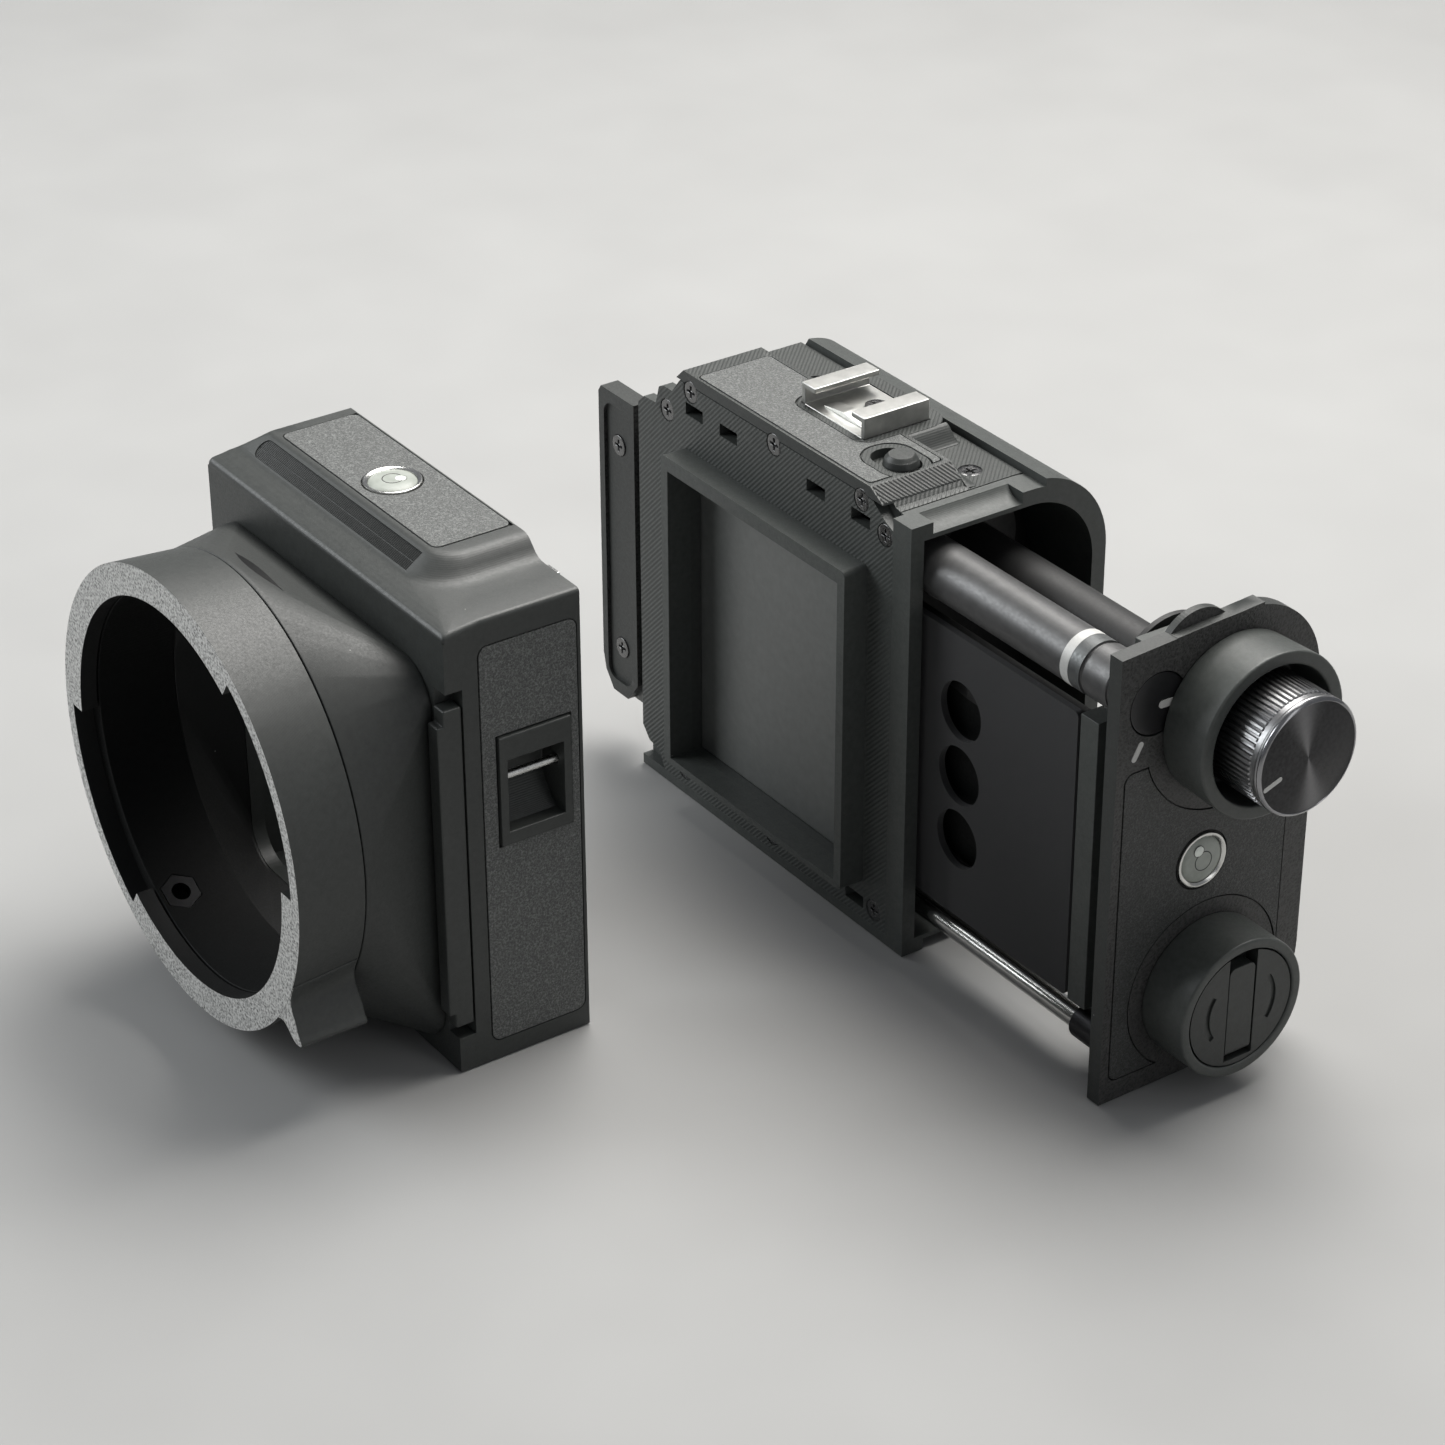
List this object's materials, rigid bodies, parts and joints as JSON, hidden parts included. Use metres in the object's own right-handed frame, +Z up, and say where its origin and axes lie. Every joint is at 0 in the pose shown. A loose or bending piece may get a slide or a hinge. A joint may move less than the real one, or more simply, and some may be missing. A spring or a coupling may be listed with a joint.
{
  "type": "modular roll-film camera",
  "caption": "Modular roll-film camera: film back with drawn-out film insert and dark slide, and a lens body with cone and bayonet lock ring that docks on its front.",
  "frame": {"origin": "middle of the film back shell's underside", "axes": "+X along the film insert's pull, +Y from the lens side towards the rear, +Z up"},
  "size_m": [0.1996, 0.1814, 0.1083],
  "materials": {
    "printed": "fine-layered printed black plastic",
    "printed_dark": "matt black inner plastic",
    "leatherette": "fine-grained green-black leatherette",
    "steel": "satin bare steel",
    "black_metal": "black anodised metal",
    "flock": "black flock",
    "vial": "clear vial with liquid"
  },
  "bodies": {
    "film_back": {"back_shell": "printed", "front_plate": "printed", "gate_hood": "printed", "slide_guide": "black_metal", "top_cover": "printed", "deck_leather": "leatherette", "accessory_shoe": "steel", "shoe_spring": "steel", "cover_screws": "black_metal", "plate_screws": "black_metal", "button_spring": "steel"},
    "dark_slide": {"dark_slide_sheet": "black_metal", "dark_slide_handle": "printed", "handle_screws": "black_metal"},
    "release_button": {"release_button": "printed_dark"},
    "film_insert": {"side_plate": "printed", "end_block": "printed", "film_carrier": "printed_dark", "side_leather": "leatherette", "knob_collar": "printed", "key_collar": "printed", "back_level_cup": "steel", "back_level_vial": "vial", "plate_springs": "steel", "spool_pins": "steel"},
    "pressure_plate": {"pressure_plate": "flock"},
    "advance_knob": {"advance_knob": "black_metal", "advance_shaft": "steel"},
    "take_up_spool": {"take_up_spool": "black_metal"},
    "counter": {"counter_roller": "black_metal", "counter_dial": "black_metal"},
    "guide_rod": {"guide_rod": "steel", "rod_sleeve": "black_metal"},
    "supply_plunger": {"supply_plunger": "steel"},
    "supply_key": {"supply_key": "printed", "key_grip_pin": "steel"},
    "key_grip": {"key_grip": "printed"},
    "lens_body": {"lens_housing": "printed", "lens_cone": "printed", "lens_seat": "printed_dark", "seat_nut": "steel", "lens_deck_leather": "leatherette", "lens_side_leather": "leatherette", "strap_frames": "printed", "strap_pins": "steel", "rear_frame": "printed", "rear_baffle": "printed_dark", "lens_level_cup": "steel", "lens_level_vial": "vial", "tripod_bush": "steel"},
    "lock_ring": {"lock_ring": "printed"},
    "latch_bar": {"latch_bar": "printed"},
    "hook_plate": {"hook_plate": "steel"}
  },
  "joints": [
    {"name": "dark_slide_pull", "type": "slide", "parent": "film_back", "child": "dark_slide", "axis": [-1, 0, 0], "range_m": [0, 0.078]},
    {"name": "release_press", "type": "slide", "parent": "film_back", "child": "release_button", "axis": [0, 0, -1], "range_m": [0, 0.0016], "stiffness_N_per_m": 300, "springref_m": -0.0005, "deforming": ["button_spring"]},
    {"name": "insert_pull", "type": "slide", "parent": "film_back", "child": "film_insert", "axis": [1, 0, 0], "range_m": [-0.0607, 0.028]},
    {"name": "pressure_give", "type": "slide", "parent": "film_insert", "child": "pressure_plate", "axis": [0, 1, 0], "range_m": [0, 0.0012], "stiffness_N_per_m": 1500, "springref_m": -0.0005, "deforming": ["plate_springs"]},
    {"name": "advance_turn", "type": "hinge", "parent": "film_insert", "child": "advance_knob", "pos_m": [0.1125, 0.0028, 0.0806], "axis": [1, 0, 0], "continuous": true},
    {"name": "take_up_turn", "type": "hinge", "parent": "film_insert", "child": "take_up_spool", "pos_m": [0.0623, 0.0028, 0.0806], "axis": [1, 0, 0], "continuous": true},
    {"name": "counter_turn", "type": "hinge", "parent": "film_insert", "child": "counter", "pos_m": [0.1125, -0.0157, 0.088], "axis": [1, 0, 0], "continuous": true},
    {"name": "guide_rod_turn", "type": "hinge", "parent": "film_insert", "child": "guide_rod", "pos_m": [0.109, -0.0174, 0.009], "axis": [1, 0, 0], "continuous": true},
    {"name": "supply_pull", "type": "slide", "parent": "film_insert", "child": "supply_plunger", "axis": [1, 0, 0], "range_m": [0, 0.008], "stiffness_N_per_m": 120, "springref_m": -0.002},
    {"name": "supply_turn", "type": "hinge", "parent": "supply_plunger", "child": "supply_key", "pos_m": [0.1242, 0, 0.02], "axis": [1, 0, 0], "range_deg": [-90, 90]},
    {"name": "key_grip_fold", "type": "hinge", "parent": "supply_key", "child": "key_grip", "pos_m": [0.1226, 0, 0.0106], "axis": [0, 1, 0], "range_deg": [0, 90]},
    {"name": "lens_dock", "type": "slide", "parent": "film_back", "child": "lens_body", "axis": [0.2412, 0.9705, 0], "range_m": [0, 0.0679]},
    {"name": "lock_ring_turn", "type": "hinge", "parent": "lens_body", "child": "lock_ring", "pos_m": [-0.0147, -0.1411, 0.053], "axis": [0, -1, 0], "range_deg": [0, 40]},
    {"name": "latch_slide", "type": "slide", "parent": "lens_body", "child": "latch_bar", "axis": [0, 0, 1], "range_m": [0, 0.003]},
    {"name": "hook_shift", "type": "slide", "parent": "lens_body", "child": "hook_plate", "axis": [1, 0, 0], "range_m": [0, 0.002]}
  ],
  "couplings": [
    {"joint": "take_up_turn", "follows": "advance_turn", "ratio": 1},
    {"joint": "hook_shift", "follows": "latch_slide", "ratio": 0.666}
  ]
}
